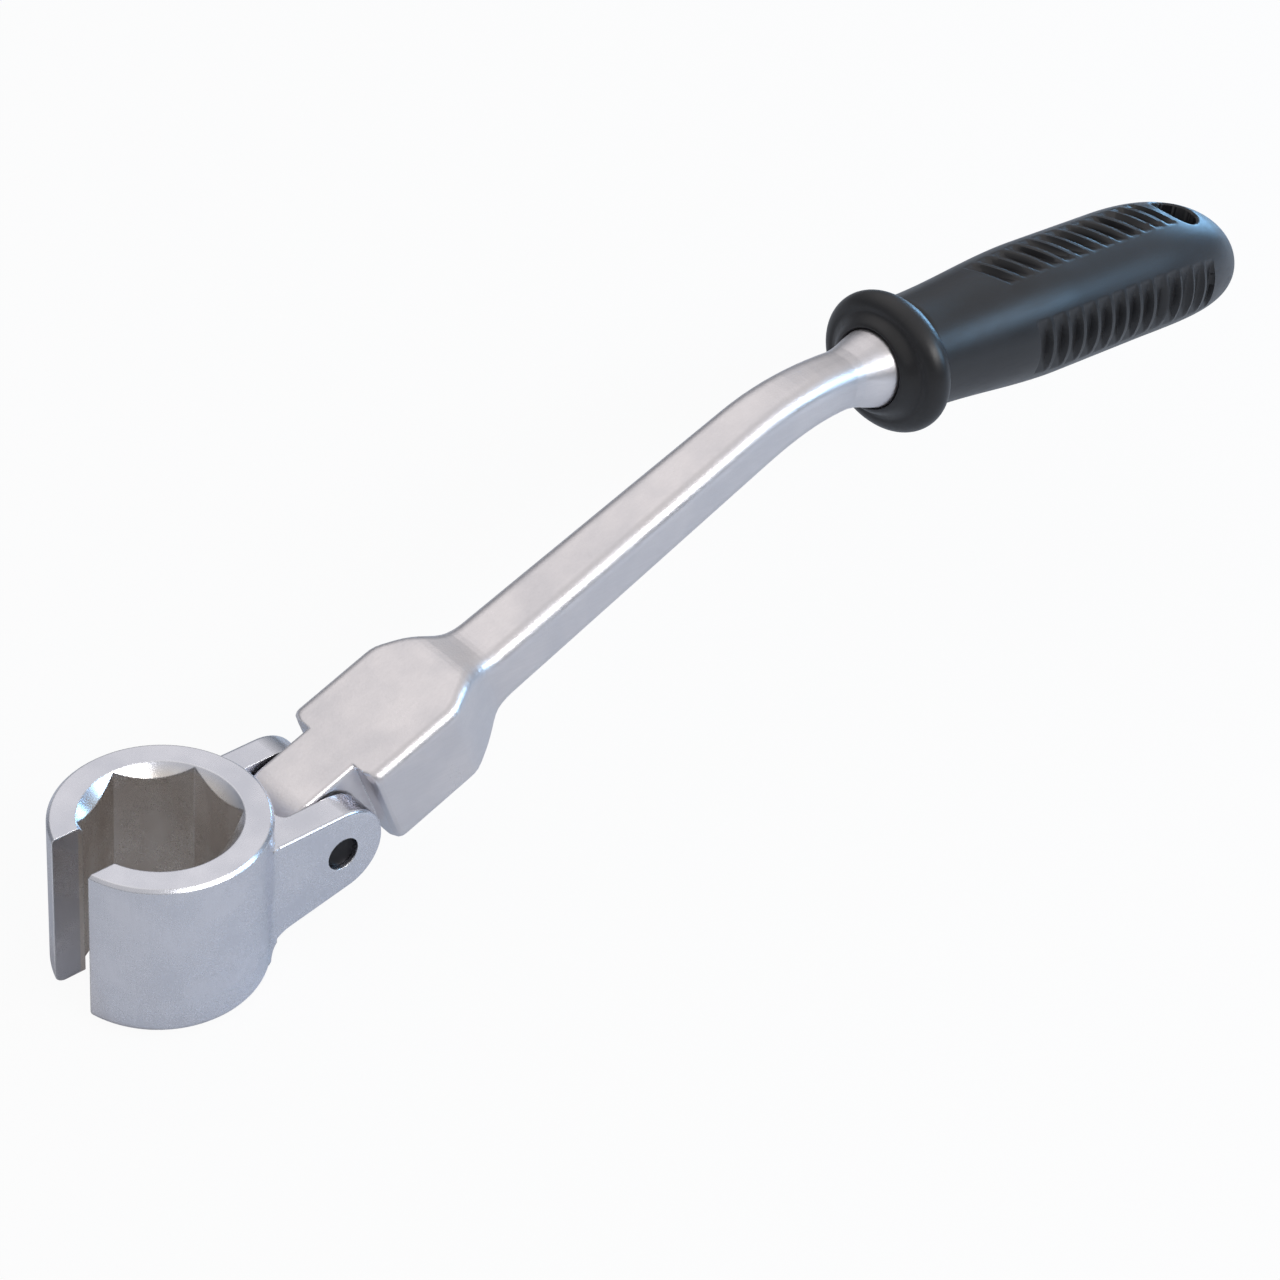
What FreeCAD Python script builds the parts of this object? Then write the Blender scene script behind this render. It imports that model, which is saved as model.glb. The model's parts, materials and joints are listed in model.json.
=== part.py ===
import FreeCAD, Part
import math
import os

# Flex-head slotted socket wrench, in millimetres.
# Row frame: origin on the socket's axis in the plane of its mouth, +Z out of the mouth,
# +X along the clevis towards the handle, +Y across the hinge.
# Bar frame, used for the bar and the grip: origin on the hinge axis, x along the shaft,
# y across, z square to the plate's top face. place_bar() turns it into the row frame.

Vec = FreeCAD.Vector
X_AXIS = Vec(1, 0, 0)
Y_AXIS = Vec(0, 1, 0)
Z_AXIS = Vec(0, 0, 1)

# ---- socket ----
hex_across_flats = 22.1
socket_radius = 17.45
socket_height = 30.2
rim_chamfer = 0.55
foot_round = 2.0
lead_in_radius = 12.95
lead_in_depth = 2.0
wire_slot_width = 9.7

# ---- clevis ----
pin_reach = 26.9
pin_drop = 13.8
ear_gap = 13.4
ear_thickness = 5.25
ear_radius = 8.1
ear_edge_round = 0.8
ear_root_round = 3.0
slot_corner_round = 1.6
web_slope = 12.0
web_blend = 5.0

# ---- hinge ----
pin_diameter = 6.0
pin_running_clearance = 0.05
pin_recess = 0.8
pin_chamfer = 0.3
tongue_side_clearance = 0.55
tongue_nose_clearance = 0.35
tongue_edge_round = 1.0
rest_pitch = 21.8

# ---- friction ball ----
ball_diameter = 3.0
ball_track_radius = 5.7
ball_track_depth = 0.38
ball_clearance = 0.1
bore_clearance = 0.05
ball_bore_depth = 9.0
spring_wire = 0.4
spring_turns = 6
spring_seat_gap = 0.05

# ---- bar ----
tongue_radius = 8.25
tongue_length = 10.1
plate_width = 22.2
plate_thickness = 18.1
plate_end = 26.0
plate_edge_round = 2.2
plate_nose_round = 1.6
width_taper_start = 27.8
width_taper_length = 9.4
top_slope_start = 33.0
under_slope_start = 32.5
slope_length = 7.0
slope_softness = 0.28
shaft_drop = 1.2
shaft_size = 12.2
shaft_end_size = 10.5
shaft_edge_round = 3.0
shaft_length = 114.0
bend_angle = 25.0
bend_radius = 53.0
bend_step = 2.5
waist_size = 9.9
neck_diameter = 14.8
neck_length = 22.1
neck_seat_depth = 8.0
neck_clearance = 0.15
tang_diameter = 9.0
tang_flat = 7.4
tang_length = 62.0

# ---- grip ----
flange_thickness = 6.0
flange_half_width = 14.3
flange_half_height = 13.0
flange_round = 2.8
flange_lean = 3.0
grip_length = 101.4
grip_collar_radius = 10.75
grip_belly_radius = 12.85
grip_tail_radius = 2.5
swell_start = 8.0
swell_length = 35.0
tail_start = 66.0
tail_fullness = 2.45
tail_droop = 5.0
hang_hole_diameter = 9.5
hang_hole_station = 82.5
top_groove_count = 13
top_groove_width = 2.4
top_groove_pitch = 3.87
top_groove_start = 27.3
top_groove_half_angle = 22.0
top_groove_skew = 18.0
side_groove_count = 13
side_groove_width = 2.9
side_groove_pitch = 4.2
side_groove_start = 33.2
side_groove_half_angle = 28.0
side_groove_skew = 12.0

# ---- worked out from the sizes above ----
ear_outer = ear_gap / 2 + ear_thickness
tongue_half_width = ear_gap / 2 - tongue_side_clearance
floor_radius = tongue_radius + tongue_nose_clearance
pin_length = 2 * (ear_outer - pin_recess)
ball_centre_y = ear_gap / 2 + ball_track_depth - ball_clearance - ball_diameter / 2
bore_radius = ball_diameter / 2 + bore_clearance
bore_floor_y = tongue_half_width - ball_bore_depth
bend_tangent = bend_radius * math.tan(math.radians(bend_angle / 2))
straight_length = shaft_length - bend_tangent
hinge_point = Vec(pin_reach, 0, -pin_drop)


def place_bar(shape):
    """Move a shape from the bar frame to the row frame at the rest pitch."""
    shape = shape.copy()
    turn = FreeCAD.Rotation(Y_AXIS, -rest_pitch)
    shape.Placement = FreeCAD.Placement(hinge_point, turn).multiply(shape.Placement)
    return shape


def prism_y(points, half_width):
    """Extrude a closed outline of (x, z) points across Y."""
    wire = Part.makePolygon([Vec(x, -half_width, z) for x, z in points + points[:1]])
    return Part.Face(wire).extrude(Vec(0, 2 * half_width, 0))


def arc_edge(start, middle, end):
    return Part.Arc(start, middle, end).toShape()


def line_edge(start, end):
    return Part.LineSegment(start, end).toShape()


def cylinder_y(radius, length, centre):
    return Part.makeCylinder(radius, length, centre - Vec(0, length / 2, 0), Y_AXIS)


# ---------------------------------------------------------------- socket head
def socket_barrel():
    barrel = Part.makeCylinder(socket_radius, socket_height, Vec(0, 0, -socket_height))
    rims = [e for e in barrel.Edges if len(e.Vertexes) == 1 and abs(e.Vertexes[0].Z) < 1e-6]
    barrel = barrel.makeChamfer(rim_chamfer, rims)
    feet = [e for e in barrel.Edges
            if len(e.Vertexes) == 1 and abs(e.Vertexes[0].Z + socket_height) < 1e-6]
    return barrel.makeFillet(foot_round, feet)


def clevis_block(half_width):
    """Side outline of the ears: round end about the pin, flat top, sloped underside."""
    slope = math.radians(web_slope)
    under = Vec(math.sin(slope), 0, -math.cos(slope)) * ear_radius + hinge_point
    top = hinge_point + Vec(0, 0, ear_radius)
    end = hinge_point + Vec(ear_radius, 0, 0)
    root_x = math.sqrt(socket_radius ** 2 - ear_outer ** 2)
    turn = math.pi / 2 - slope
    setback = web_blend * math.tan(turn / 2)
    corner_z = under.z - (under.x - root_x) * math.tan(slope)
    blend_a = Vec(root_x + setback * math.cos(slope), 0, corner_z + setback * math.sin(slope))
    blend_b = Vec(root_x, 0, corner_z - setback)
    centre = blend_b + Vec(web_blend, 0, 0)
    halfway = (blend_a + blend_b) * 0.5 - centre
    blend_mid = centre + halfway * (web_blend / halfway.Length)
    inner_bottom = Vec(0, 0, blend_b.z)
    inner_top = Vec(0, 0, top.z)
    edges = [
        line_edge(inner_top, top),
        arc_edge(top, hinge_point + Vec(math.sin(math.pi / 4), 0, math.cos(math.pi / 4))
                 * ear_radius, end),
        arc_edge(end, hinge_point + Vec(math.cos(slope / 2 - math.pi / 4), 0,
                                        math.sin(slope / 2 - math.pi / 4)) * ear_radius, under),
        line_edge(under, blend_a),
        arc_edge(blend_a, blend_mid, blend_b),
        line_edge(blend_b, inner_bottom),
        line_edge(inner_bottom, inner_top),
    ]
    face = Part.Face(Part.Wire(edges))
    face.translate(Vec(0, -half_width, 0))
    return face.extrude(Vec(0, 2 * half_width, 0))


def clevis_ears():
    """The block at its real width, with the outer edges of its top and end rounded."""
    block = clevis_block(ear_outer)
    lowest = hinge_point.z - ear_radius * math.cos(math.radians(web_slope))
    rims = [e for e in block.Edges
            if e.BoundBox.YMax - e.BoundBox.YMin < 1e-6 and e.CenterOfMass.x > socket_radius / 2
            and e.CenterOfMass.z > lowest + 1e-6]
    return block.makeFillet(ear_edge_round, rims)


def ear_roots():
    """Hollow blends between the outer faces of the ears and the barrel."""
    reach = socket_radius + ear_root_round
    offset = ear_outer + ear_root_round
    centre = Vec(math.sqrt(reach ** 2 - offset ** 2), offset, -socket_height)
    on_ear = centre - Vec(0, ear_root_round, 0)
    radial = Vec(centre.x, centre.y, 0) * (socket_radius / reach)
    on_barrel = Vec(radial.x, radial.y, -socket_height)
    bulge = (on_ear + on_barrel) * 0.5 - centre
    middle = centre + bulge * (ear_root_round / bulge.Length)
    inner = on_ear - Vec(0, ear_edge_round + ear_thickness / 4, 0)
    inside = Vec(on_barrel.x, inner.y, -socket_height)
    edges = [arc_edge(on_barrel, middle, on_ear), line_edge(on_ear, inner),
             line_edge(inner, inside), line_edge(inside, on_barrel)]
    top = hinge_point.z + ear_radius
    root = Part.Face(Part.Wire(edges)).extrude(Vec(0, 0, socket_height + top))
    both = root.fuse(root.mirror(Vec(0, 0, 0), Y_AXIS))
    return both.common(clevis_block(socket_radius))


def clevis_slot():
    """Gap for the tongue: open above, below and at the end, with rounded inner corners."""
    reach = floor_radius + 2 * ear_radius
    box = Part.makeBox(reach, ear_gap, 2 * socket_height,
                       Vec(pin_reach - floor_radius, -ear_gap / 2, -1.5 * socket_height))
    corners = [e for e in box.Edges if e.BoundBox.ZMax - e.BoundBox.ZMin > socket_height
               and e.CenterOfMass.x < pin_reach]
    return box.makeFillet(slot_corner_round, corners)


def hex_bore():
    corner = hex_across_flats / math.sqrt(3)
    points = [Vec(corner * math.sin(math.radians(60 * k)), corner * math.cos(math.radians(60 * k)),
                  -socket_height) for k in range(7)]
    bore = Part.Face(Part.makePolygon(points)).extrude(Vec(0, 0, socket_height))
    cone = Part.makeCone(hex_across_flats / 2, lead_in_radius, lead_in_depth,
                         Vec(0, 0, -lead_in_depth))
    return bore.fuse(cone)


def ball_track():
    """Ring groove in the ear on the +Y side, in which the friction ball runs."""
    return Part.makeTorus(ball_track_radius, ball_diameter / 2 + ball_clearance,
                          hinge_point + Vec(0, ball_centre_y, 0), Y_AXIS)


def socket_head():
    head = socket_barrel().fuse([clevis_ears(), ear_roots()])
    head = head.cut(clevis_slot())
    head = head.cut(hex_bore())
    head = head.cut(Part.makeBox(socket_radius, wire_slot_width, socket_height,
                                 Vec(-socket_radius, -wire_slot_width / 2, -socket_height)))
    head = head.cut(cylinder_y(pin_diameter / 2, 2 * ear_outer, hinge_point))
    return head.cut(ball_track()).removeSplitter()


# ------------------------------------------------------------------ hinge parts
def hinge_pin():
    pin = cylinder_y(pin_diameter / 2, pin_length, hinge_point)
    ends = [e for e in pin.Edges if len(e.Vertexes) == 1]
    return pin.makeChamfer(pin_chamfer, ends)


def friction_ball():
    return place_bar(Part.makeSphere(ball_diameter / 2, Vec(-ball_track_radius, ball_centre_y, 0)))


def friction_spring():
    mean_radius = ball_diameter / 2 - spring_wire
    seat = math.sqrt((ball_diameter / 2) ** 2 - mean_radius ** 2)
    low = bore_floor_y + spring_wire / 2 + spring_seat_gap
    high = ball_centre_y - seat - spring_wire - spring_seat_gap
    pitch = (high - low) / spring_turns
    helix = Part.makeHelix(pitch, high - low, mean_radius)
    ring = Part.Wire(Part.makeCircle(spring_wire / 2, Vec(mean_radius, 0, 0), Y_AXIS))
    coil = Part.Wire(helix).makePipeShell([ring], True, True)
    coil.rotate(Vec(0, 0, 0), X_AXIS, -90)
    coil.translate(Vec(-ball_track_radius, low, 0))
    return place_bar(coil)


# -------------------------------------------------------------------- drive bar
def rounded_section(width, top, bottom, radius, frame):
    """Closed wire of a rounded rectangle in the frame's YZ plane."""
    half_y = width / 2
    half_z = (top - bottom) / 2
    radius = min(radius, 0.49 * width, 0.98 * half_z)
    inner_y = half_y - radius
    inner_z = half_z - radius
    slant = radius * math.sqrt(0.5)
    corners = []
    for sy, sz in ((1, 1), (-1, 1), (-1, -1), (1, -1)):
        on_side = Vec(0, sy * half_y, sz * inner_z)
        on_top = Vec(0, sy * inner_y, sz * half_z)
        middle = Vec(0, sy * (inner_y + slant), sz * (inner_z + slant))
        first, last = (on_side, on_top) if sy == sz else (on_top, on_side)
        corners.append((first, middle, last))
    edges = []
    for k, (first, middle, last) in enumerate(corners):
        edges.append(arc_edge(first, middle, last))
        edges.append(line_edge(last, corners[(k + 1) % 4][0]))
    wire = Part.Wire(edges)
    wire.translate(Vec(0, 0, (top + bottom) / 2))
    wire.Placement = frame.multiply(wire.Placement)
    return wire


def frame_at(distance):
    """Placement on the shaft's centre line, at a distance from the hinge along the line."""
    bend_length = bend_radius * math.radians(bend_angle)
    if distance <= straight_length:
        return FreeCAD.Placement(Vec(distance, 0, -shaft_drop), FreeCAD.Rotation())
    turned = min(distance - straight_length, bend_length) / bend_radius
    point = Vec(straight_length + bend_radius * math.sin(turned), 0,
                -shaft_drop - bend_radius * (1 - math.cos(turned)))
    beyond = max(distance - straight_length - bend_length, 0)
    point += Vec(math.cos(turned), 0, -math.sin(turned)) * beyond
    return FreeCAD.Placement(point, FreeCAD.Rotation(Y_AXIS, math.degrees(turned)))


def ease(value):
    value = min(max(value, 0.0), 1.0)
    return value * value * (3 - 2 * value)


def soft_ramp(value, softness):
    """A straight ramp from 0 to 1 whose two corners are rounded off."""
    def area(point):
        return min(max(point, 0.0), 1.0) ** 2 / 2 + max(point - 1.0, 0.0)
    return (area(value + softness) - area(value - softness)) / (2 * softness)


def blend(first, last, share):
    return first + (last - first) * share


def bend_end():
    return straight_length + bend_radius * math.radians(bend_angle)


def neck_end():
    return bend_end() + neck_length - bend_tangent


def plate_sections():
    """Shoulder plate, and the run where it narrows and thins to the shaft."""
    plate_top = tongue_radius + shaft_drop
    plate_bottom = plate_top - plate_thickness
    nose_width = plate_width - 2 * plate_nose_round
    sections = []
    for share in (0.0, 0.3, 0.65, 1.0):
        bulge = math.sqrt(1 - (1 - share) ** 2)
        sections.append((tongue_length + plate_nose_round * share,
                         nose_width + 2 * plate_nose_round * bulge,
                         plate_top, plate_bottom, plate_edge_round))
    slope_end = max(top_slope_start, under_slope_start) + slope_length * (1 + slope_softness)
    steps = 15
    for k in range(steps + 1):
        distance = blend(plate_end, slope_end, k / steps)
        half_shaft = blend(shaft_size, shaft_end_size,
                           (distance - plate_end) / (straight_length - plate_end)) / 2
        narrow = soft_ramp((distance - width_taper_start) / width_taper_length, slope_softness / 2)
        lower = soft_ramp((distance - top_slope_start) / slope_length, slope_softness)
        higher = soft_ramp((distance - under_slope_start) / slope_length, slope_softness)
        sections.append((distance, blend(plate_width, 2 * half_shaft, narrow),
                         blend(plate_top, half_shaft, lower),
                         blend(plate_bottom, -half_shaft, higher),
                         blend(plate_edge_round, shaft_edge_round, narrow)))
    return sections


def shaft_sections():
    """Bend, waist and round neck, after the straight shaft."""
    half = shaft_end_size / 2
    sections = [(straight_length, shaft_end_size, half, -half, shaft_edge_round)]
    steps = round(bend_angle / bend_step)
    for k in range(1, steps + 1):
        size = blend(shaft_end_size, waist_size, ease(k / steps))
        edge = blend(shaft_edge_round, waist_size / 2, 0.5 * k / steps)
        sections.append((blend(straight_length, bend_end(), k / steps), size, size / 2, -size / 2,
                         edge))
    steps = 5
    waist_edge = sections[-1][4]
    for k in range(1, steps + 1):
        share = ease(k / steps)
        size = blend(waist_size, neck_diameter, share)
        sections.append((blend(bend_end(), neck_end(), k / steps), size, size / 2, -size / 2,
                         blend(waist_edge, neck_diameter / 2, share)))
    return sections


def bar_loft():
    wires = [rounded_section(width, top, bottom, radius, frame_at(distance))
             for distance, width, top, bottom, radius in plate_sections() + shaft_sections()]
    return Part.makeLoft(wires, True, True)


def tongue():
    """Tongue between the ears, round about the pin, flush with the plate on top."""
    block = prism_y([(0, tongue_radius), (tongue_length + plate_nose_round, tongue_radius),
                     (tongue_length + plate_nose_round, -tongue_radius), (0, -tongue_radius)],
                    tongue_half_width)
    body = block.fuse(cylinder_y(tongue_radius, 2 * tongue_half_width, Vec(0, 0, 0)))
    body = body.removeSplitter()
    edges = [e for e in body.Edges
             if abs(e.BoundBox.YMax - e.BoundBox.YMin) < 1e-6 and e.BoundBox.XMin < tongue_length
             and e.BoundBox.XMax - e.BoundBox.XMin > 1e-3]
    return body.makeFillet(tongue_edge_round, edges)


def tang():
    """Neck seat and flatted tang along X, which the grip is moulded over."""
    seat = Part.makeCylinder(neck_diameter / 2, neck_seat_depth, Vec(0, 0, 0), X_AXIS)
    rod = Part.makeCylinder(tang_diameter / 2, tang_length, Vec(neck_seat_depth, 0, 0), X_AXIS)
    slab = Part.makeBox(tang_length, tang_flat, tang_diameter,
                        Vec(neck_seat_depth, -tang_flat / 2, -tang_diameter / 2))
    return seat.fuse(rod.common(slab))


def drive_bar():
    tail = tang()
    tail.Placement = frame_at(neck_end())
    bar = bar_loft().fuse([tongue(), tail])
    bar = bar.cut(cylinder_y(pin_diameter / 2 + pin_running_clearance, plate_width, Vec(0, 0, 0)))
    bore = Part.makeCylinder(bore_radius, ball_bore_depth, Vec(-ball_track_radius, bore_floor_y, 0),
                             Y_AXIS)
    return place_bar(bar.cut(bore).removeSplitter())


# ------------------------------------------------------------------------- grip
def body_radius(station):
    """Grip body: collar, swell to the belly, then a full round tail."""
    if station <= tail_start:
        return blend(grip_collar_radius, grip_belly_radius,
                     ease((station - swell_start) / swell_length))
    share = (station - tail_start) / (grip_length - tail_start)
    height = math.sqrt(max(1 - share ** tail_fullness, 0))
    return blend(grip_tail_radius, grip_belly_radius, height)


def body_centre(station):
    """The tail bends down a little, away from the grip's axis."""
    share = max(station - tail_start, 0) / (grip_length - tail_start)
    return Vec(station, 0, -tail_droop * share ** 2)


def grip_body():
    steps = 6
    stations = [tail_start * k / steps for k in range(steps + 1)]
    steps = 9
    for k in range(1, steps + 1):
        turn = math.radians(90 * k / steps)
        share = math.sin(turn) ** (2 / tail_fullness)
        stations.append(blend(tail_start, grip_length, share))
    rings = [Part.Wire(Part.makeCircle(body_radius(station), body_centre(station), X_AXIS))
             for station in stations]
    return Part.makeLoft(rings, True, False)


def flange():
    ring = Part.Ellipse(Vec(0, 0, 0), flange_half_width, flange_half_height).toShape()
    disc = Part.Face(Part.Wire(ring)).extrude(Vec(0, 0, flange_thickness))
    disc = disc.makeFillet(flange_round, [e for e in disc.Edges if e.isClosed()
                                          and abs(e.BoundBox.ZMax - e.BoundBox.ZMin) < 1e-6])
    disc.rotate(Vec(0, 0, 0), Z_AXIS, 90)
    disc.rotate(Vec(0, 0, 0), Y_AXIS, 90)
    disc.rotate(Vec(flange_thickness / 2, 0, 0), Y_AXIS, -flange_lean)
    return disc


def grooves(start, pitch, count, width, half_angle, skew, turns):
    """Slanting flat-floored slots across bands of the grip, as deep as the bands' chord."""
    cutters = []
    for k in range(count):
        station = start + k * pitch
        floor = body_radius(station) * math.cos(math.radians(half_angle))
        slot = Part.makeBox(width, 2 * grip_belly_radius, grip_belly_radius,
                            Vec(-width / 2, -grip_belly_radius, floor))
        slot.rotate(Vec(0, 0, 0), Z_AXIS, skew)
        for turn in turns:
            cutter = slot.copy()
            cutter.rotate(Vec(0, 0, 0), X_AXIS, turn)
            cutter.translate(body_centre(station))
            cutters.append(cutter)
    return cutters


def tang_socket():
    mouth = Part.makeCylinder(neck_diameter / 2 + neck_clearance, flange_thickness,
                              Vec(-flange_thickness, 0, 0), X_AXIS)
    return tang().fuse(mouth)


def grip():
    cutters = grooves(top_groove_start, top_groove_pitch, top_groove_count, top_groove_width,
                      top_groove_half_angle, top_groove_skew, (0, 180))
    cutters += grooves(side_groove_start, side_groove_pitch, side_groove_count, side_groove_width,
                       side_groove_half_angle, side_groove_skew, (90, -90))
    body = grip_body().cut(Part.makeCompound(cutters))
    hole = Part.makeCylinder(hang_hole_diameter / 2, 4 * grip_belly_radius,
                             Vec(hang_hole_station, 0, -2 * grip_belly_radius))
    shape = body.fuse(flange()).cut(hole).cut(tang_socket())
    shape.Placement = frame_at(neck_end()).multiply(shape.Placement)
    return place_bar(shape)


NODES = {
    "socket_head": socket_head,
    "hinge_pin": hinge_pin,
    "friction_ball": friction_ball,
    "friction_spring": friction_spring,
    "drive_bar": drive_bar,
    "grip": grip,
}


def main():
    os.makedirs("parts", exist_ok=True)
    for name, build in NODES.items():
        shape = build()
        solids = shape.Solids
        print(name, "solids", len(solids), "valid", shape.isValid(), "volume", round(shape.Volume, 1))
        shape.exportStep("parts/" + name + ".step")


main()
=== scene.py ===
import json
import math

import bmesh
import bpy
from mathutils import Matrix, Vector


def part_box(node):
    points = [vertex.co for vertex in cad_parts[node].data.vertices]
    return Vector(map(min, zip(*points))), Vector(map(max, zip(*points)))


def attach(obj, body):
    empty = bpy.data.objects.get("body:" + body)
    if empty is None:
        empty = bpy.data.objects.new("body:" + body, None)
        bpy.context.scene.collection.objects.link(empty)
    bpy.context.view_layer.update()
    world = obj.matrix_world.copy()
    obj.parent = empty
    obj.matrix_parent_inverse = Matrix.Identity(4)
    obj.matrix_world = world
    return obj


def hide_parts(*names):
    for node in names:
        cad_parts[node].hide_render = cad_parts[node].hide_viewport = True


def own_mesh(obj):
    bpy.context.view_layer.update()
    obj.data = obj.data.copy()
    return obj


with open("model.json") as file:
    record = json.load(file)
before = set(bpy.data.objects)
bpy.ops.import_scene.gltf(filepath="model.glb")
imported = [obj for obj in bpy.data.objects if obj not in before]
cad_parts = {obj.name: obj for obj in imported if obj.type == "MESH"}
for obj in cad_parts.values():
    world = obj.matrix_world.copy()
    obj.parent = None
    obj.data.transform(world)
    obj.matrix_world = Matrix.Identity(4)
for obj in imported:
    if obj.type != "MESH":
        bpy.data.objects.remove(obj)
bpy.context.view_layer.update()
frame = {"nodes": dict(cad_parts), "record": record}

MM = 0.001
SHARP_ANGLE = math.radians(50)
FLOOR_GLOW = 0.94
NODES = frame["nodes"]

# ---- places read from the frame, and the grip's origin, worked out from its hang hole ----
HEAD_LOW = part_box("socket_head")[0]
GRIP_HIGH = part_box("grip")[1]
HANG_HOLE = next(m for m in frame["record"]["mounts"] if m["name"] == "hang_hole")
GRIP_UP = Vector(HANG_HOLE["axis"])
GRIP_ALONG = Vector((GRIP_UP.z, 0, -GRIP_UP.x))
HOLE_RADIUS = HANG_HOLE["dims"]["r_mm"]
HOLE_CENTRE = Vector(HANG_HOLE["pos_m"]) / MM
HOLE_STATION = 82.5
HOLE_BELOW_AXIS = 0.55
GRIP_ORIGIN = HOLE_CENTRE - GRIP_ALONG * HOLE_STATION + GRIP_UP * HOLE_BELOW_AXIS

# ---- grip: lengths in millimetres, stations along its axis from the flange's front edge ----
GRIP_LENGTH = 101.4
NECK_RADIUS = 7.4
COLLAR_RADIUS = 10.75
BELLY_RADIUS = 12.85
TAIL_CAP_RADIUS = 0.4
SWELL_START = 8.0
SWELL_LENGTH = 35.0
TAIL_START = 66.0
TAIL_FULLNESS = 2.45
TAIL_SQUARENESS = 2.6
TAIL_DROOP = 5.0
HOLE_RIM_ROUND = 0.7
FLANGE_THICKNESS = 6.0
FLANGE_HALF_WIDTH = 14.3
FLANGE_HALF_HEIGHT = 13.0
FLANGE_LEAN = math.radians(3.0)
FLANGE_FOOT = 1.2
FRONT_DOME = 2.3
DOME_END = 0.1
NECK_LIP = 0.25
NECK_LIP_DEPTH = 0.5
NECK_LIP_INSET = 0.15
NECK_HOLE_DEPTH = 2.0
OVAL_FADE = 3.0
GROOVE_EDGE = 0.42
TOP_BAND = {"start": 27.3, "pitch": 3.87, "count": 13, "width": 2.4, "half": math.radians(22),
            "angles": (0, math.pi), "skew": 4.2, "bow": 5.5, "scoop": 1.4}
SIDE_BAND = {"start": 33.2, "pitch": 4.2, "count": 13, "width": 2.9, "half": math.radians(28),
             "angles": (math.pi / 2, -math.pi / 2), "skew": 2.7, "bow": 0.0, "scoop": 1.0}
BAND_GAP = math.pi / 2 - TOP_BAND["half"] - SIDE_BAND["half"]
LEAN_START = 9.0
LEAN_FADE = 15.0
ANGLE_STEPS = 192
FINE_STEP = 0.28
DOME_STEPS = 10
RIM_STEPS = 26
FOOT_STEPS = 8
TAIL_STEPS = 130
HOLE_SEGMENTS = 96
HOLE_CUT_LENGTH = 60

# ---- stage: places in metres, turns in degrees, lens and sensor in millimetres ----
FLOOR_HALF_SIZE = 4.0
FLOOR_GAP = 0.0002
SKY_STRENGTH = 0.72
SKY_STOPS = [(0.0, (0.30, 0.31, 0.33)), (0.06, (0.16, 0.17, 0.19)), (0.22, (0.34, 0.36, 0.40)),
             (0.55, (0.80, 0.79, 0.80)), (0.9, (0.92, 0.90, 0.90))]
CAMERA_PLACE = (-0.2051, -0.2872, 0.3089)
CAMERA_TURN = (52.453, -5.560, -42.713)
CAMERA_LENS = 84.375
SENSOR_WIDTH = 36.0


# ---------------------------------------------------------------- mesh helpers
def ease(value):
    value = min(max(value, 0.0), 1.0)
    return value * value * (3 - 2 * value)


def blend(first, last, share):
    return first + (last - first) * share


def new_object(name, points, faces):
    """A smooth-shaded mesh object from points in millimetres in the row frame."""
    mesh = bpy.data.meshes.new(name)
    mesh.from_pydata([p * MM for p in points], [], faces)
    mesh.polygons.foreach_set("use_smooth", [True] * len(mesh.polygons))
    mesh.update()
    piece = bpy.data.objects.new(name, mesh)
    bpy.context.scene.collection.objects.link(piece)
    return piece


def skin(rings, close_start=True, close_end=True):
    """Points and faces of closed rings joined in order, with flat ends."""
    count = len(rings[0])
    points = [p for ring in rings for p in ring]
    faces = []
    for r in range(len(rings) - 1):
        low = r * count
        for k in range(count):
            following = (k + 1) % count
            faces.append((low + k, low + following, low + count + following, low + count + k))
    if close_start:
        faces.append(tuple(reversed(range(count))))
    if close_end:
        last = (len(rings) - 1) * count
        faces.append(tuple(range(last, last + count)))
    return points, faces


# ------------------------------------------------------------------------ grip
def grip_radius(station):
    if station <= TAIL_START:
        return blend(COLLAR_RADIUS, BELLY_RADIUS, ease((station - SWELL_START) / SWELL_LENGTH))
    share = (station - TAIL_START) / (GRIP_LENGTH - TAIL_START)
    height = max(1 - share ** TAIL_FULLNESS, 0) ** (1 / TAIL_SQUARENESS)
    return blend(TAIL_CAP_RADIUS, BELLY_RADIUS, height)


def tail_drop(station):
    share = max(station - TAIL_START, 0) / (GRIP_LENGTH - TAIL_START)
    return TAIL_DROOP * share ** 2


def band_turns(angle):
    """Each groove band with the angle left to its middle."""
    for band in (TOP_BAND, SIDE_BAND):
        for middle in band["angles"]:
            yield band, math.atan2(math.sin(middle - angle), math.cos(middle - angle))


def lean(angle):
    """How far towards the tail the grooves lie at an angle. The mesh's rings lean with them."""
    total = 0.0
    for band, turn in band_turns(angle):
        inner = min(max(turn, -band["half"]), band["half"])
        share = 1 - ease((abs(turn) - band["half"]) / BAND_GAP)
        total += share * (band["skew"] * inner + band["bow"] * inner ** 2)
    return total


def lean_share(station):
    """1 where there are grooves, and 0 at both ends of the grip, where the rings are upright."""
    return ease((station - LEAN_START) / LEAN_FADE) * ease((GRIP_LENGTH - station) / LEAN_FADE)


def groove_share(station, band):
    """How deep a groove is at a station, from 0 on a ridge to 1 on a groove's floor."""
    nearest = round((station - band["start"]) / band["pitch"])
    nearest = min(max(nearest, 0), band["count"] - 1)
    away = abs(station - band["start"] - nearest * band["pitch"])
    return 1 - ease((away - band["width"] / 2 + GROOVE_EDGE / 2) / GROOVE_EDGE)


def groove_depth(station, radius, angle):
    """Depth of the scooped grooves of the top, bottom and side bands."""
    depth = 0.0
    for band, turn in band_turns(angle):
        if abs(turn) < band["half"]:
            floor = radius * math.cos(band["half"]) / math.cos(turn)
            depth = max(depth, groove_share(station, band) * band["scoop"] * (radius - floor))
    return depth


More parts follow.
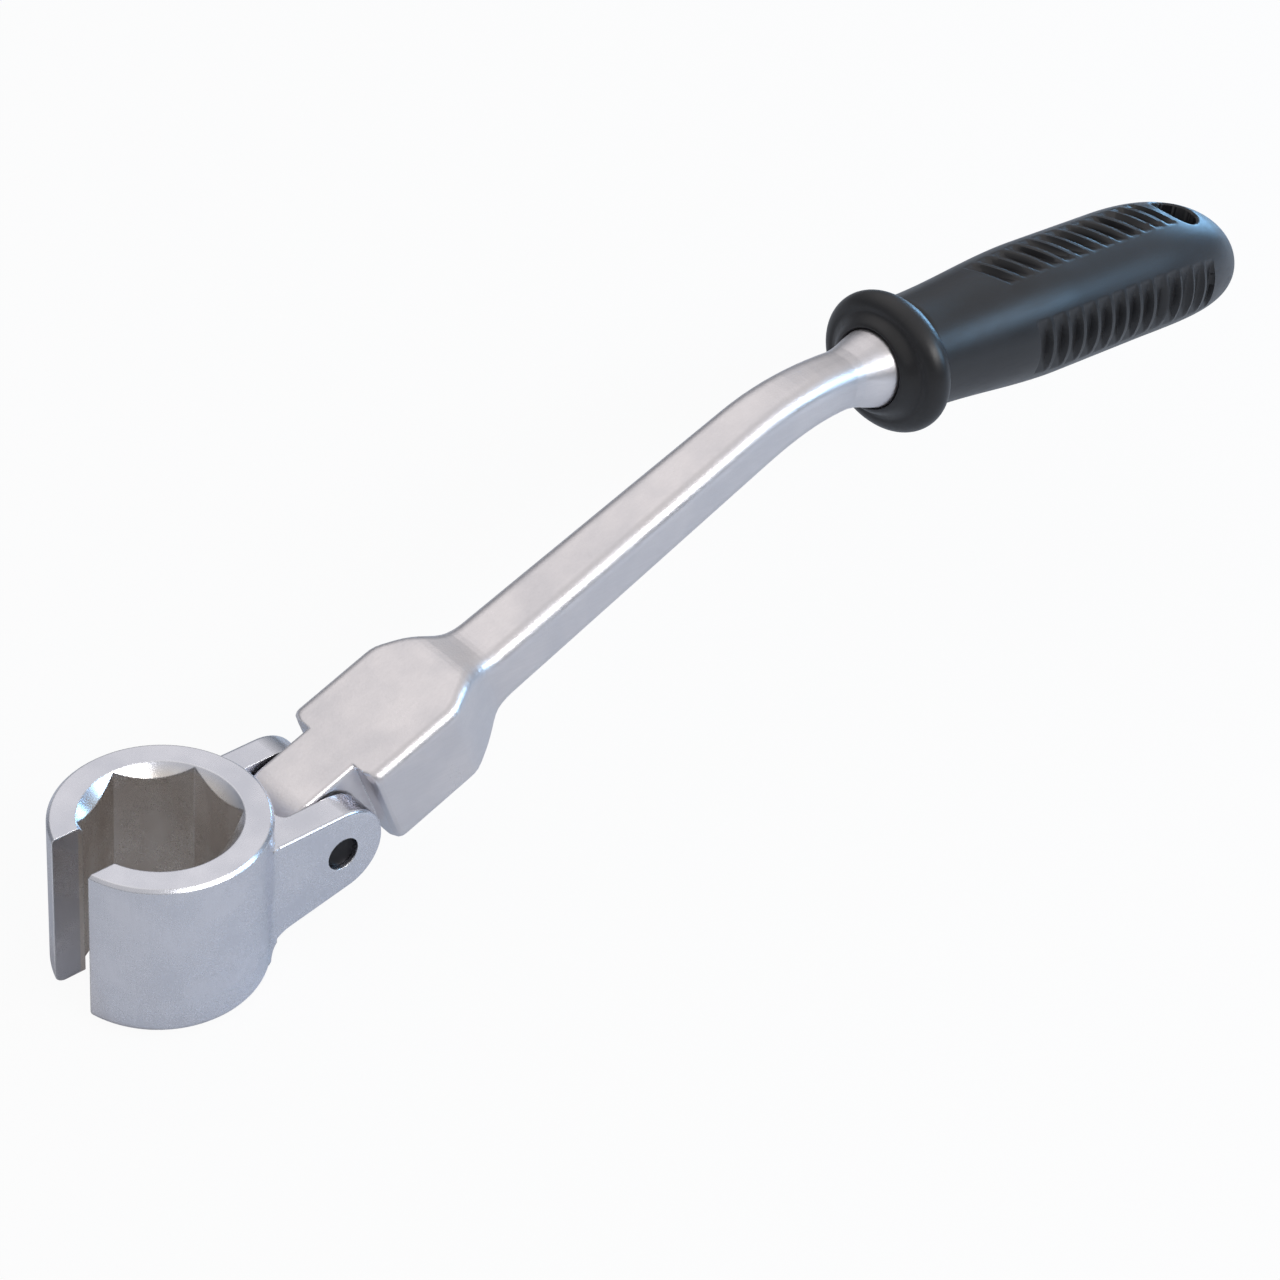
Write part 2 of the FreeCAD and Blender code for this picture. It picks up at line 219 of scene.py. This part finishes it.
def flange_profile():
    """(station, radius) points from inside the neck hole, over the dome and round the rim."""
    mean = (FLANGE_HALF_WIDTH + FLANGE_HALF_HEIGHT) / 2
    half = FLANGE_THICKNESS / 2
    points = [(NECK_HOLE_DEPTH, NECK_RADIUS - NECK_LIP),
              (-FRONT_DOME + NECK_LIP_DEPTH, NECK_RADIUS - NECK_LIP_INSET),
              (-FRONT_DOME, NECK_RADIUS + NECK_LIP)]
    dome_end = mean - half
    for k in range(1, DOME_STEPS + 1):
        share = k / DOME_STEPS
        points.append((-FRONT_DOME * (1 - ease(share)) + DOME_END * share,
                       blend(NECK_RADIUS + NECK_LIP, dome_end, share)))
    for k in range(1, RIM_STEPS + 1):
        turn = math.radians(180 * k / RIM_STEPS)
        points.append((half - half * math.cos(turn), dome_end + half * math.sin(turn)))
    foot = FLANGE_THICKNESS + FLANGE_FOOT
    for k in range(1, FOOT_STEPS + 1):
        turn = math.radians(90 * k / FOOT_STEPS)
        points.append((foot - (foot - FLANGE_THICKNESS) * math.cos(turn),
                       blend(dome_end, grip_radius(foot), math.sin(turn))))
    return points


def grip_point(station, radius, angle, oval):
    """A point of the grip in the row frame. oval is 1 on the flange and 0 on the body."""
    mean = (FLANGE_HALF_WIDTH + FLANGE_HALF_HEIGHT) / 2
    across = radius * math.sin(angle) * blend(1, FLANGE_HALF_WIDTH / mean, oval)
    up = radius * math.cos(angle) * blend(1, FLANGE_HALF_HEIGHT / mean, oval)
    along = station - oval * math.tan(FLANGE_LEAN) * up
    up -= tail_drop(station)
    return GRIP_ORIGIN + GRIP_ALONG * along + GRIP_UP * up + Vector((0, across, 0))


def hole_dip(point):
    """How far the surface drops towards the hang hole, which gives the hole a round rim."""
    offset = point - HOLE_CENTRE
    away = (offset - GRIP_UP * offset.dot(GRIP_UP)).length
    if away >= HOLE_RADIUS + HOLE_RIM_ROUND:
        return 0.0
    inside = min((HOLE_RADIUS + HOLE_RIM_ROUND - away) / HOLE_RIM_ROUND, 1.0)
    return HOLE_RIM_ROUND * (1 - math.sqrt(1 - inside * inside))


def grip_mesh():
    angles = [2 * math.pi * k / ANGLE_STEPS for k in range(ANGLE_STEPS)]
    rings = []
    profile = flange_profile()
    for station, radius in profile:
        oval = ease((radius - NECK_RADIUS) / OVAL_FADE) if station < 1 else 1.0
        if station > FLANGE_THICKNESS:
            oval = 1 - ease((station - FLANGE_THICKNESS) / FLANGE_FOOT)
        rings.append([grip_point(station, radius, angle, oval) for angle in angles])
    start = profile[-1][0]
    steps = round((TAIL_START - start) / FINE_STEP)
    stations = [blend(start, TAIL_START, k / steps) for k in range(1, steps + 1)]
    for k in range(1, TAIL_STEPS + 1):
        share = math.sin(math.pi / 2 * k / TAIL_STEPS) ** (2 / TAIL_FULLNESS)
        stations.append(blend(TAIL_START, GRIP_LENGTH, share))
    for station in stations:
        ring = []
        for angle in angles:
            place = station + lean(angle) * lean_share(station)
            radius = grip_radius(place)
            radius -= groove_depth(station, radius, angle)
            point = grip_point(place, radius, angle, 0)
            side = 1 if math.cos(angle) > 0 else -1
            ring.append(point - GRIP_UP * side * hole_dip(point))
        rings.append(ring)
    return skin(rings)


def cut_hole(piece):
    """Cuts the hang hole through the grip along its own axis."""
    bm = bmesh.new()
    bmesh.ops.create_cone(bm, cap_ends=True, segments=HOLE_SEGMENTS, radius1=HOLE_RADIUS * MM,
                          radius2=HOLE_RADIUS * MM, depth=HOLE_CUT_LENGTH * MM)
    turn = Vector((0, 0, 1)).rotation_difference(GRIP_UP).to_matrix().to_4x4()
    bm.transform(Matrix.Translation(HOLE_CENTRE * MM) @ turn)
    mesh = bpy.data.meshes.new("hole_cutter")
    bm.to_mesh(mesh)
    bm.free()
    cutter = bpy.data.objects.new("hole_cutter", mesh)
    bpy.context.scene.collection.objects.link(cutter)
    modifier = piece.modifiers.new("hang_hole", "BOOLEAN")
    modifier.operation = "DIFFERENCE"
    modifier.solver = "EXACT"
    modifier.object = cutter
    depsgraph = bpy.context.evaluated_depsgraph_get()
    result = bpy.data.meshes.new_from_object(piece.evaluated_get(depsgraph))
    piece.modifiers.clear()
    piece.data = result
    bpy.data.objects.remove(cutter)
    bm = bmesh.new()
    bm.from_mesh(result)
    for edge in bm.edges:
        edge.smooth = not (len(edge.link_faces) == 2 and edge.calc_face_angle(0) > SHARP_ANGLE)
    bm.to_mesh(result)
    bm.free()
    result.polygons.foreach_set("use_smooth", [True] * len(result.polygons))


def make_grip():
    piece = new_object("grip_moulding", *grip_mesh())
    cut_hole(piece)
    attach(piece, "bar")
    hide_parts("grip")
    return piece


def make_spring():
    """The coil behind the ball, copied from its part and attached to the bar."""
    coil = bpy.data.objects.new("spring_coil", NODES["friction_spring"].data.copy())
    bpy.context.scene.collection.objects.link(coil)
    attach(coil, "bar")
    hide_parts("friction_spring")
    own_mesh(coil)
    return coil


# ------------------------------------------------------------------- materials
class Shader:
    """A node material with the few kinds of node that the finishes below share."""

    def __init__(self, name, **sockets):
        self.material = bpy.data.materials.new(name)
        self.material.use_nodes = True
        self.nodes = self.material.node_tree.nodes
        self.links = self.material.node_tree.links
        self.surface = self.nodes["Principled BSDF"]
        for socket, value in sockets.items():
            self.surface.inputs[socket.replace("_", " ")].default_value = value
        coordinates = self.nodes.new("ShaderNodeTexCoord")
        self.place = coordinates.outputs["Object"]

    def noise(self, size_mm, detail=3.0, roughness=0.55, stretch=(1, 1, 1)):
        """Noise whose features are about size_mm across, stretched along the row axes."""
        mapping = self.nodes.new("ShaderNodeMapping")
        mapping.inputs["Scale"].default_value = [1 / (size_mm * MM * k) for k in stretch]
        self.links.new(self.place, mapping.inputs["Vector"])
        texture = self.nodes.new("ShaderNodeTexNoise")
        texture.inputs["Scale"].default_value = 1.0
        texture.inputs["Detail"].default_value = detail
        texture.inputs["Roughness"].default_value = roughness
        self.links.new(mapping.outputs["Vector"], texture.inputs["Vector"])
        return texture.outputs["Fac"]

    def remap(self, value, low, high, to_low, to_high):
        node = self.nodes.new("ShaderNodeMapRange")
        limits = (("From Min", low), ("From Max", high), ("To Min", to_low), ("To Max", to_high))
        for socket, number in limits:
            node.inputs[socket].default_value = number
        self.links.new(value, node.inputs["Value"])
        return node.outputs["Result"]

    def math(self, operation, first, second):
        node = self.nodes.new("ShaderNodeMath")
        node.operation = operation
        for socket, value in zip(node.inputs, (first, second)):
            if isinstance(value, (int, float)):
                socket.default_value = value
            else:
                self.links.new(value, socket)
        return node.outputs["Value"]

    def mix(self, share, first, second):
        """Colour between two others. Each is a colour or another node's output."""
        node = self.nodes.new("ShaderNodeMix")
        node.data_type = "RGBA"
        for socket, value in ((node.inputs[0], share), (node.inputs[6], first), (node.inputs[7], second)):
            if isinstance(value, bpy.types.NodeSocket):
                self.links.new(value, socket)
            elif socket == node.inputs[0]:
                socket.default_value = value
            else:
                socket.default_value = (*value, 1)
        return node.outputs[2]

    def edge_mask(self, radius_mm, low, high):
        """1 on edges that are sharper than the bevel radius can follow, 0 elsewhere."""
        bevel = self.nodes.new("ShaderNodeBevel")
        bevel.samples = 6
        bevel.inputs["Radius"].default_value = radius_mm * MM
        geometry = self.nodes.new("ShaderNodeNewGeometry")
        dot = self.nodes.new("ShaderNodeVectorMath")
        dot.operation = "DOT_PRODUCT"
        self.links.new(bevel.outputs["Normal"], dot.inputs[0])
        self.links.new(geometry.outputs["Normal"], dot.inputs[1])
        return self.remap(dot.outputs["Value"], high, low, 0.0, 1.0)

    def bump(self, height, depth_mm, strength=1.0, bevel_mm=None):
        node = self.nodes.new("ShaderNodeBump")
        node.inputs["Strength"].default_value = strength
        node.inputs["Distance"].default_value = depth_mm * MM
        self.links.new(height, node.inputs["Height"])
        if bevel_mm:
            bevel = self.nodes.new("ShaderNodeBevel")
            bevel.samples = 6
            bevel.inputs["Radius"].default_value = bevel_mm * MM
            self.links.new(bevel.outputs["Normal"], node.inputs["Normal"])
        self.links.new(node.outputs["Normal"], self.surface.inputs["Normal"])

    def inside_bore(self, radius_mm):
        """1 on surfaces nearer to the socket's axis than the radius and below its lead-in."""
        split = self.nodes.new("ShaderNodeSeparateXYZ")
        self.links.new(self.place, split.inputs["Vector"])
        across = self.math("MULTIPLY", split.outputs["X"], split.outputs["X"])
        along = self.math("MULTIPLY", split.outputs["Y"], split.outputs["Y"])
        squared = self.math("ADD", across, along)
        near = self.remap(squared, (radius_mm * MM) ** 2, (radius_mm * MM * 0.985) ** 2, 0, 1)
        low = self.remap(split.outputs["Z"], -0.3 * MM, -1.6 * MM, 0, 1)
        return self.math("MULTIPLY", near, low)

    def set(self, socket, value):
        self.links.new(value, self.surface.inputs[socket])


def satin_chrome(name, base, shade, rough, grain_mm, grain_depth, streak, bevel_mm, bore_radius=None):
    """Plated forging: blasted grain, faint cloudiness, fine streaks, and sharp edges with a painted
    highlight and lower roughness.
    """
    shader = Shader(name, Metallic=1.0)
    grain = shader.noise(grain_mm, detail=4)
    cloud = shader.noise(9.0, detail=2)
    streaks = shader.noise(0.5, detail=2, stretch=streak)
    tone = shader.mix(shader.remap(cloud, 0.35, 0.65, 0, 1), base, shade)
    tone = shader.mix(shader.remap(streaks, 0.3, 0.75, 0.0, 0.16), tone, [c * 0.82 for c in shade])
    edges = shader.edge_mask(0.45, 0.90, 0.995)
    # Painted highlight: the colour is made lighter on every sharp edge.
    tone = shader.mix(shader.math("MULTIPLY", edges, 0.45), tone, [min(c * 1.25, 1) for c in base])
    if bore_radius:
        bore = shader.inside_bore(bore_radius)
        stain = shader.noise(5.0, detail=3, stretch=(1, 1, 3))
        bore_tone = shader.mix(shader.remap(stain, 0.35, 0.65, 0, 1), (0.80, 0.75, 0.71), (0.90, 0.87, 0.84))
        tone = shader.mix(bore, tone, bore_tone)
    shader.set("Base Color", tone)
    worn = shader.remap(cloud, 0.3, 0.7, rough - 0.05, rough + 0.06)
    speckle = shader.remap(grain, 0.3, 0.7, -0.05, 0.05)
    roughness = shader.math("ADD", worn, speckle)
    shader.set("Roughness", shader.math("SUBTRACT", roughness, shader.math("MULTIPLY", edges, 0.10)))
    shader.bump(grain, grain_depth, bevel_mm=bevel_mm)
    return shader.material


def moulded_plastic():
    """Black grip: fine spark-eroded grain, soft sheen, dust, and a lighter colour with lower roughness on
    sharp edges.
    """
    shader = Shader("grip_plastic", IOR=1.49, Coat_Weight=0.12, Coat_Roughness=0.35)
    grain = shader.noise(0.35, detail=4)
    cloud = shader.noise(14.0, detail=3)
    scuffs = shader.noise(1.6, detail=5, roughness=0.7, stretch=(4, 1, 1))
    edges = shader.edge_mask(0.4, 0.86, 0.99)
    tone = shader.mix(shader.remap(cloud, 0.3, 0.7, 0, 1), (0.0085, 0.0085, 0.0095), (0.015, 0.015, 0.017))
    # The colour is made lighter on sharp edges and groove ridges.
    tone = shader.mix(shader.math("MULTIPLY", edges, 0.25), tone, (0.045, 0.045, 0.05))
    tone = shader.mix(shader.remap(scuffs, 0.58, 0.8, 0.0, 0.3), tone, (0.03, 0.03, 0.034))
    shader.set("Base Color", tone)
    rough = shader.remap(cloud, 0.3, 0.7, 0.33, 0.43)
    rough = shader.math("ADD", rough, shader.remap(scuffs, 0.5, 0.8, 0.0, 0.12))
    shader.set("Roughness", shader.math("SUBTRACT", rough, shader.math("MULTIPLY", edges, 0.06)))
    shader.bump(grain, 0.02, strength=0.55)
    return shader.material


def plain_steel(name, base, rough, streak):
    shader = Shader(name, Metallic=1.0)
    fine = shader.noise(0.25, detail=3, stretch=streak)
    cloud = shader.noise(2.5, detail=3)
    tone = shader.mix(shader.remap(cloud, 0.3, 0.7, 0, 1), base, [c * 0.75 for c in base])
    shader.set("Base Color", tone)
    shader.set("Roughness", shader.remap(fine, 0.3, 0.7, rough - 0.06, rough + 0.08))
    shader.bump(fine, 0.01)
    return shader.material


def paint(piece, material):
    piece.data.materials.clear()
    piece.data.materials.append(material)


# ----------------------------------------------------------------------- stage
def make_floor():
    size = FLOOR_HALF_SIZE
    level = HEAD_LOW.z - FLOOR_GAP
    mesh = bpy.data.meshes.new("floor")
    corners = [(-size, -size, level), (size, -size, level), (size, size, level), (-size, size, level)]
    mesh.from_pydata(corners, [], [(0, 1, 2, 3)])
    floor = bpy.data.objects.new("floor", mesh)
    bpy.context.scene.collection.objects.link(floor)
    shader = Shader("floor_paper", Roughness=0.9)
    fibre = shader.noise(0.6, detail=3)
    tone = shader.mix(shader.remap(fibre, 0.3, 0.7, 0, 1), (0.60, 0.61, 0.635), (0.64, 0.65, 0.675))
    shader.set("Base Color", tone)
    seen = shader.nodes.new("ShaderNodeLightPath").outputs["Is Camera Ray"]
    paper = shader.nodes.new("ShaderNodeEmission")
    paper.inputs["Strength"].default_value = 1.0
    mixer = shader.nodes.new("ShaderNodeMixShader")
    shader.links.new(shader.math("MULTIPLY", seen, FLOOR_GLOW), mixer.inputs["Fac"])
    shader.links.new(shader.surface.outputs["BSDF"], mixer.inputs[1])
    shader.links.new(paper.outputs["Emission"], mixer.inputs[2])
    output = shader.nodes["Material Output"]
    shader.links.new(mixer.outputs["Shader"], output.inputs["Surface"])
    paint(floor, shader.material)


def area_light(name, place, aim, size, power, colour=(1, 1, 1)):
    light = bpy.data.lights.new(name, "AREA")
    light.shape = "RECTANGLE"
    light.size, light.size_y = size
    light.energy = power
    light.color = colour
    lamp = bpy.data.objects.new(name, light)
    lamp.location = place
    lamp.rotation_euler = (Vector(aim) - Vector(place)).to_track_quat("-Z", "Y").to_euler()
    bpy.context.scene.collection.objects.link(lamp)


def make_lights():
    middle = (HEAD_LOW + GRIP_HIGH) / 2
    world = bpy.data.worlds.new("studio")
    world.use_nodes = True
    bpy.context.scene.world = world
    nodes = world.node_tree.nodes
    links = world.node_tree.links
    background = nodes["Background"]
    coordinates = nodes.new("ShaderNodeTexCoord")
    split = nodes.new("ShaderNodeSeparateXYZ")
    ramp = nodes.new("ShaderNodeValToRGB")
    links.new(coordinates.outputs["Generated"], split.inputs["Vector"])
    links.new(split.outputs["Z"], ramp.inputs["Fac"])
    links.new(ramp.outputs["Color"], background.inputs["Color"])
    for place, colour in SKY_STOPS:
        stop = ramp.color_ramp.elements.new(place)
        stop.color = (*colour, 1)
    ramp.color_ramp.elements.remove(ramp.color_ramp.elements[0])
    ramp.color_ramp.elements.remove(ramp.color_ramp.elements[-1])
    background.inputs["Strength"].default_value = SKY_STRENGTH
    area_light("key", middle + Vector((0.06, -0.68, 0.56)), middle,
               size=(0.75, 0.16), power=3.0, colour=(1.0, 0.99, 0.98))
    area_light("top", middle + Vector((0.02, 0.50, 0.80)), middle,
               size=(1.0, 0.7), power=0.6, colour=(1.0, 0.965, 0.975))
    area_light("side", middle + Vector((0.60, -0.55, 0.42)), middle,
               size=(0.22, 0.3), power=1.8, colour=(0.36, 0.66, 1.0))
    tail = Vector((GRIP_HIGH.x, 0, GRIP_HIGH.z))
    area_light("tail", tail + Vector((0.75, 0.22, 0.14)), tail,
               size=(0.34, 0.22), power=3.0, colour=(0.30, 0.62, 1.0))


def make_camera():
    data = bpy.data.cameras.new("camera")
    data.sensor_width = SENSOR_WIDTH
    data.lens = CAMERA_LENS
    camera = bpy.data.objects.new("camera", data)
    camera.location = CAMERA_PLACE
    camera.rotation_euler = [math.radians(a) for a in CAMERA_TURN]
    bpy.context.scene.collection.objects.link(camera)
    bpy.context.scene.camera = camera


# ------------------------------------------------------------------------ main
bpy.context.scene.view_settings.view_transform = "Standard"
make_camera()
make_floor()
make_lights()

grip = make_grip()
paint(grip, moulded_plastic())
paint(NODES["socket_head"],
      satin_chrome("head_chrome", base=(0.79, 0.80, 0.86), shade=(0.72, 0.735, 0.80), rough=0.27,
                   grain_mm=0.22, grain_depth=0.006, streak=(1, 1, 9), bevel_mm=0.35, bore_radius=13.0))
paint(NODES["drive_bar"],
      satin_chrome("bar_chrome", base=(0.84, 0.81, 0.82), shade=(0.77, 0.75, 0.77), rough=0.36,
                   grain_mm=0.42, grain_depth=0.034, streak=(9, 1, 1), bevel_mm=0.5))
paint(NODES["hinge_pin"],
      plain_steel("pin_black", base=(0.035, 0.034, 0.036), rough=0.42, streak=(1, 1, 1)))
paint(NODES["friction_ball"],
      plain_steel("ball_steel", base=(0.62, 0.62, 0.64), rough=0.12, streak=(1, 1, 1)))
paint(make_spring(),
      plain_steel("spring_steel", base=(0.40, 0.40, 0.42), rough=0.30, streak=(1, 1, 1)))
